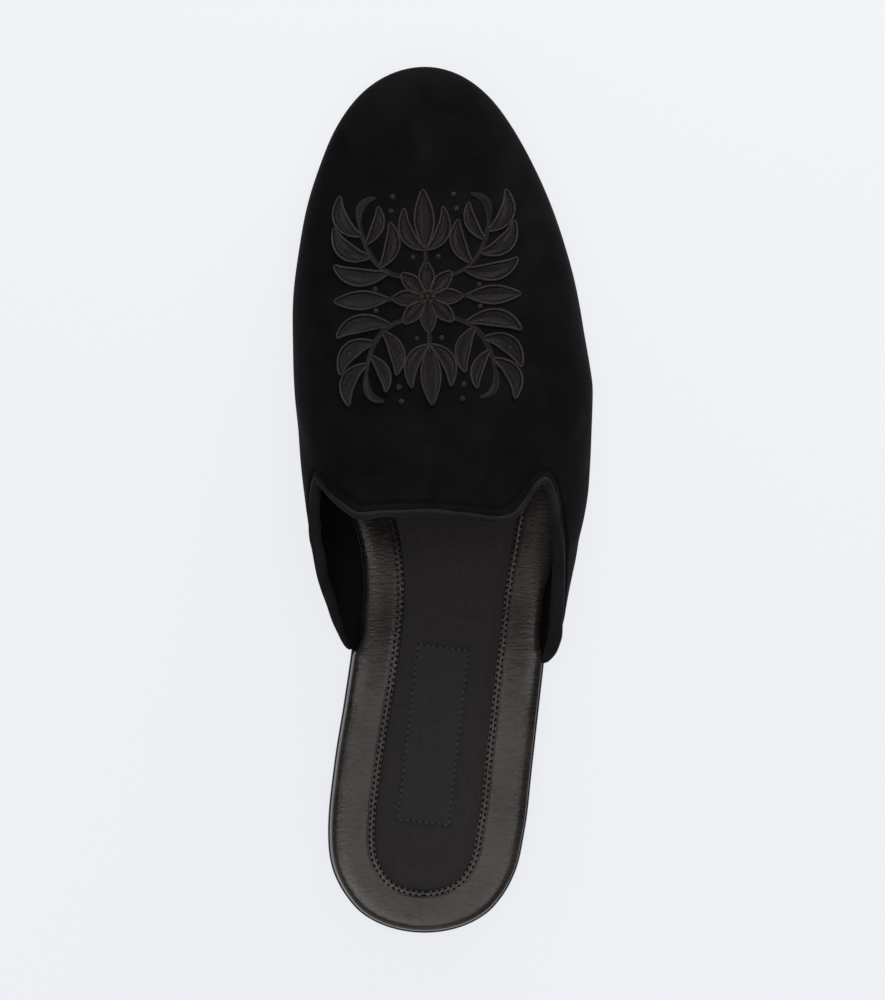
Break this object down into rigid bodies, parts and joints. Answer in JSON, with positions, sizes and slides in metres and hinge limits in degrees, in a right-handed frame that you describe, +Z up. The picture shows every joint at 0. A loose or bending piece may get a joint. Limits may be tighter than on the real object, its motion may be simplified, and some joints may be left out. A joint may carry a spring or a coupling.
{
  "type": "slipper mule",
  "caption": "Backless velvet slipper with a closed toe, rolled topline, embroidered medallion on the vamp, leather-bordered insole, thin sole and low heel.",
  "frame": {"origin": "middle of the bounding box in plan, on the floor under the shoe", "axes": "+Y from heel to toe, +X to the outer, little-toe side, +Z up"},
  "size_m": [0.1004, 0.29, 0.0711],
  "materials": {
    "sole_leather": "black dyed, polished edge",
    "heel_leather": "black dyed, polished",
    "sock_leather": "soft grained nappa, satin",
    "sock_cloth": "plain weave, matt",
    "label_cloth": "woven tape, satin",
    "velvet": "short cotton velvet pile",
    "thread": "satin-stitched silk thread"
  },
  "bodies": {
    "root": {"outsole": "sole_leather", "heel": "heel_leather", "footbed": "sock_leather", "sock_panel": "sock_cloth", "sock_label": "label_cloth", "upper": "velvet", "embroidery": "thread"}
  },
  "joints": []
}
